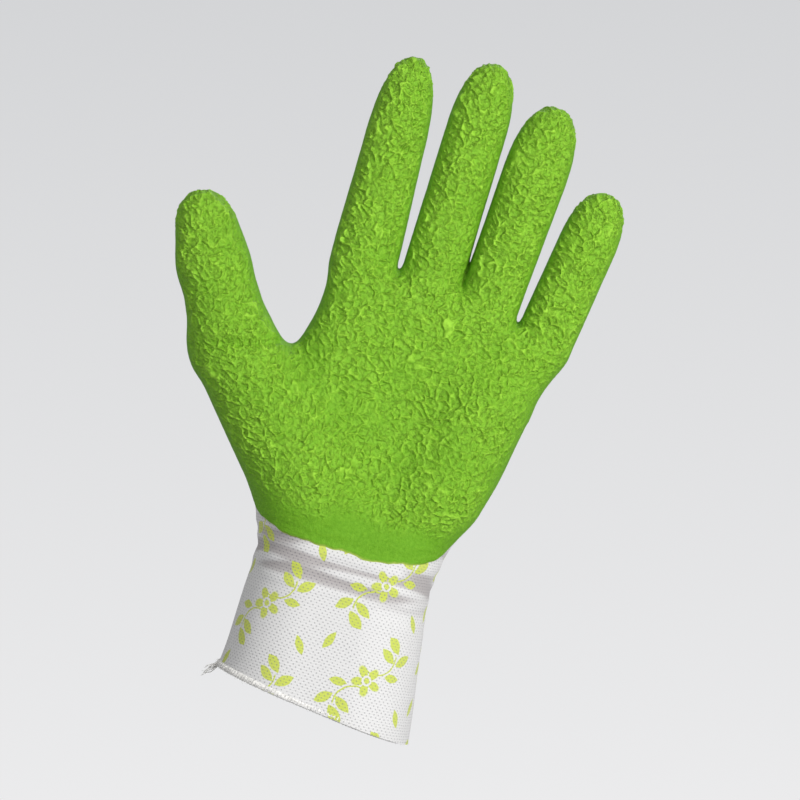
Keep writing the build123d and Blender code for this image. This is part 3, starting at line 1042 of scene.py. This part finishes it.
def tubes(paths, radius, sides=5):
    """Round tubes along lists of points, thinner at their ends, as one set of points and quads."""
    points, quads = [], []
    total = 0
    angle = np.arange(sides) * math.tau / sides
    for path in paths:
        path = np.asarray(path, float)
        along = np.gradient(path, axis=0)
        along /= np.maximum(np.linalg.norm(along, axis=1), 1e-9)[:, None]
        side = np.cross(along, [0.31, 0.52, 0.79])
        side /= np.maximum(np.linalg.norm(side, axis=1), 1e-9)[:, None]
        other = np.cross(along, side)
        count = len(path)
        share = np.sin(np.linspace(0.06, np.pi - 0.06, count)) * 1.6
        thin = np.sqrt(np.clip(share, 0, 1)) * radius
        ring = side[:, None] * np.cos(angle)[None, :, None]
        ring = ring + other[:, None] * np.sin(angle)[None, :, None]
        points.append((path[:, None] + ring * thin[:, None, None]).reshape(-1, 3))
        i = np.repeat(np.arange(count - 1), sides) * sides
        j = np.tile(np.arange(sides), count - 1)
        k = (j + 1) % sides
        quads.append(np.stack([i + j, i + k, i + k + sides, i + j + sides], axis=1) + total)
        total += count * sides
    return np.concatenate(points), np.concatenate(quads)


def hem_roll(material):
    """The knit's edge, turned and rolled under."""
    around, across = 420, 14
    line, out = hem_line(around, *HEM_CORE)
    angle = np.arange(across) * math.tau / across
    radial = out[:, None] * np.cos(angle)[None, :, None] * HEM_ROLL_RADII[0]
    upward = np.array([0, 0, 1.0]) * np.sin(angle)[None, :, None] * HEM_ROLL_RADII[1]
    points = (line[:, None] + radial + upward).reshape(-1, 3)
    away = points - np.repeat(line, across, axis=0)
    points += away * (0.10 * noise(points / 1.1, 51) + 0.08 * noise(points / 0.45, 52))[:, None]
    i = np.repeat(np.arange(around), across)
    j = np.tile(np.arange(across), around)
    after, k = (i + 1) % around, (j + 1) % across
    quads = np.stack([i * across + j, after * across + j, after * across + k, i * across + k], axis=1)
    return new_object("hem_roll", points, quads, material)


def hem_stitches(material):
    """Overlock loops over the hem."""
    loops = []
    count, steps = 150, 12
    line, out = hem_line(count, *HEM_CORE)
    along = np.roll(line, -1, axis=0) - line
    turn = np.radians(np.linspace(-215, 55, steps))[:, None]
    drift = np.linspace(-0.3, 0.45, steps)[:, None]
    for i in range(count):
        circle = out[i] * np.cos(turn) + np.array([0, 0, 1.28]) * np.sin(turn)
        loops.append(line[i] + circle + along[i] * drift)
    points, quads = tubes(loops, 0.17)
    return new_object("hem_stitches", points, quads, material)


def hem_fibres(material):
    """Short loose fibres round the hem."""
    rng = np.random.default_rng(7)
    fibres = []
    line, out = hem_line(900, 0.6, 1.2)
    for start, way in zip(line, out):
        reach = rng.uniform(0.3, 0.8)
        down = rng.uniform(-1.0, 0.4)
        tip = way * reach * rng.uniform(0.3, 1.0) + np.array([0, 0, down * reach])
        tip = tip + rng.normal(0, 0.25, 3)
        root = start + way * 0.9 + np.array([0, 0, 0.7 * down])
        share = np.linspace(0, 1, 4)[:, None]
        fibres.append(root + tip * share + rng.normal(0, 0.2, 3) * share**2)
    points, quads = tubes(fibres, 0.04, 3)
    return new_object("hem_fibres", points, quads, material)


def yarn_tail(material):
    """A few frayed strands at the thumb-side corner of the hem."""
    rng = np.random.default_rng(11)
    strands = []
    share = np.linspace(0, 1, 14)
    for i in range(26):
        root = np.array([-36.0, -8.0 + 0.2 * i, 5.2]) + rng.normal(0, 0.5, 3)
        reach = rng.uniform(2.0, 7.0)
        way = np.array([-0.75, rng.uniform(-0.3, 0.3), rng.uniform(-0.95, -0.35)])
        waves = (np.sin(share * 5 + i), np.cos(share * 4 + 2 * i), np.sin(share * 6 + 3 * i))
        curl = 0.8 * np.stack(waves, axis=1)
        strands.append(root + (way * reach + curl) * share[:, None])
    points, quads = tubes(strands, 0.12)
    return new_object("yarn_tail", points, quads, material)


# ---------------------------------------------------------------- the glove


def gather_shade(p):
    """Painted shade, partly the knit's own grey: 1 in the drawn-in rows' hollows just under the dip, 0
    away from them.
    """
    near = smoothstep(38.0, 47.0, p[:, 2]) * (1.0 - smoothstep(60.0, 72.0, p[:, 2]))
    return near * smoothstep(0.25, -0.35, gather_noise(p)) * (p[:, 1] < 4)


def build_knit(p, quads, pieces, material):
    """The liner: one knit piece for every stretch of the glove."""
    normal = skin_normals(p)
    outer = p + normal * (skin_relief(p) + KNIT_LEVEL)[:, None]
    inner = outer - normal * KNIT_THICKNESS
    layers = (outer, inner, vertex_normals(outer, quads, normal))
    zone = zones(p[quads].mean(axis=1))
    corners = knit_coordinates(p, quads, zone)
    # gather carries the painted shade of the drawn-in rows
    values = (("gather", gather_shade(p)),)
    for index, piece in enumerate(pieces):
        own = zone == index
        name = f"{piece.name}_liner"
        obj = shell(name, layers, quads[own], material, p, values, corners[own])
        piece.attach(obj)
        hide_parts(f"{piece.name}_knit")
        if piece.name != "cuff":
            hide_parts("wrist_fold" if piece.name == "palm" else f"{piece.name}_fold")


def build_latex(p, quads, pieces, material):
    """The coating, on smaller quads than the knit; the cuff isn't dipped."""
    dip = dip_depth(p)
    p, quads = subdivide(p, quads[(dip[quads] > LATEX_MESHED).any(axis=1)])
    dip = dip_depth(p)
    normal = skin_normals(p)
    height, ridge = latex_relief(p, normal)
    covered = smoothstep(-0.2, 1.0, dip)
    height = covered * (height + 0.05) + (1.0 - covered) * (KNIT_LEVEL - LATEX_TUCK)
    outer = p + normal * (skin_relief(p) + height)[:, None]
    inner = p + normal * (skin_relief(p) + LATEX_INSIDE)[:, None]
    thin = height < LATEX_INSIDE + LATEX_THINNEST
    inner = np.where(thin[:, None], outer - LATEX_THINNEST * normal, inner)
    layers = (outer, inner, vertex_normals(outer, quads, normal))
    zone = zones(p[quads].mean(axis=1))
    kept = (dip[quads] > LATEX_KEPT).any(axis=1)
    values = (("ridge", ridge), ("dip", dip), ("crinkle", crinkle_share(p, normal)))
    for index, piece in enumerate(pieces):
        if piece.name == "cuff":
            continue
        own = (zone == index) & kept
        obj = shell(f"{piece.name}_latex", layers, quads[own], material, p, values)
        piece.attach(obj)
        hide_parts(f"{piece.name}_coating")


def build_hem():
    """The hem and its threads, and yarn for the elastic that the frame brings."""
    white = yarn_material("white_yarn", YARN_WHITE, 900.0)
    parts = {
        hem_roll(white): ("knit", "cuff_hem"),
        hem_stitches(white): ("thread", "hem_thread"),
        hem_fibres(white): ("thread", None),
        yarn_tail(white): ("thread", "hem_yarn_tail"),
    }
    for obj, (slot, node) in parts.items():
        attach(obj, "cuff")
        if node:
            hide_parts(node)
    elastic = yarn_material("elastic_yarn", YARN_ELASTIC, 700.0)
    mesh = frame["nodes"]["wrist_elastic"].data
    mesh.materials.clear()
    mesh.materials.append(elastic)


# ---------------------------------------------------------------- the studio


def area_light(name, place, target, size, power):
    light = bpy.data.lights.new(name, "AREA")
    light.shape = "DISK"
    light.size = size
    light.energy = power
    obj = bpy.data.objects.new(name, light)
    obj.location = place
    obj.rotation_euler = (Vector(target) - Vector(place)).to_track_quat("-Z", "Y").to_euler()
    bpy.context.scene.collection.objects.link(obj)


def world():
    """A pale backdrop, a little lighter towards the ground, that lights the glove only weakly."""
    sky = bpy.data.worlds.new("backdrop")
    bpy.context.scene.world = sky
    sky.use_nodes = True
    g = Graph(sky)
    back = sky.node_tree.nodes["Background"]
    place = g.add("ShaderNodeTexCoord").outputs["Generated"]
    inputs = {0: place, 1: PICTURE_UP}
    height = g.add("ShaderNodeVectorMath", inputs, operation="DOT_PRODUCT").outputs["Value"]
    reach = {"Value": height, "From Min": -BACKDROP_REACH, "From Max": BACKDROP_REACH}
    share = g.add("ShaderNodeMapRange", reach).outputs["Result"]
    g.put(back.inputs["Color"], g.mix(share, colour(*BACKDROP_LOW), colour(*BACKDROP_HIGH)))
    seen = g.add("ShaderNodeLightPath").outputs["Is Camera Ray"]
    strength = g.add("ShaderNodeMapRange", {"Value": seen, "To Min": AMBIENT})
    g.put(back.inputs["Strength"], strength.outputs["Result"])


def floor():
    settings = {"vertices": 96, "radius": FLOOR_RADIUS, "fill_type": "NGON"}
    bpy.ops.mesh.primitive_circle_add(**settings, location=(0, 0, FLOOR_Z))
    obj = bpy.context.object
    obj.name = "floor"
    obj.data.materials.append(floor_material())


def camera():
    lens = bpy.data.cameras.new("camera")
    lens.sensor_width = SENSOR_WIDTH
    lens.lens = SENSOR_WIDTH * CAMERA_DISTANCE / PICTURE_WIDTH
    lens.clip_end = 20.0
    obj = bpy.data.objects.new("camera", lens)
    up = Vector(PICTURE_UP)
    back = Vector((0, -1, 0))
    right = up.cross(back)
    turn = Matrix((right, up, back)).transposed().to_4x4()
    place = Vector((PICTURE_CENTRE[0], -CAMERA_DISTANCE, PICTURE_CENTRE[1])) * MM
    obj.matrix_world = Matrix.Translation(place) @ turn
    bpy.context.scene.collection.objects.link(obj)
    bpy.context.scene.camera = obj


def build_glove():
    pieces = all_pieces()
    p, quads = skin_mesh()
    build_knit(p, quads, pieces, knit_material())
    build_latex(p, quads, pieces, latex_material())
    build_hem()


build_glove()
world()
floor()
camera()
for light_name, light_settings in LIGHTS.items():
    area_light(light_name, *light_settings)
bpy.context.scene.view_settings.view_transform = "Standard"
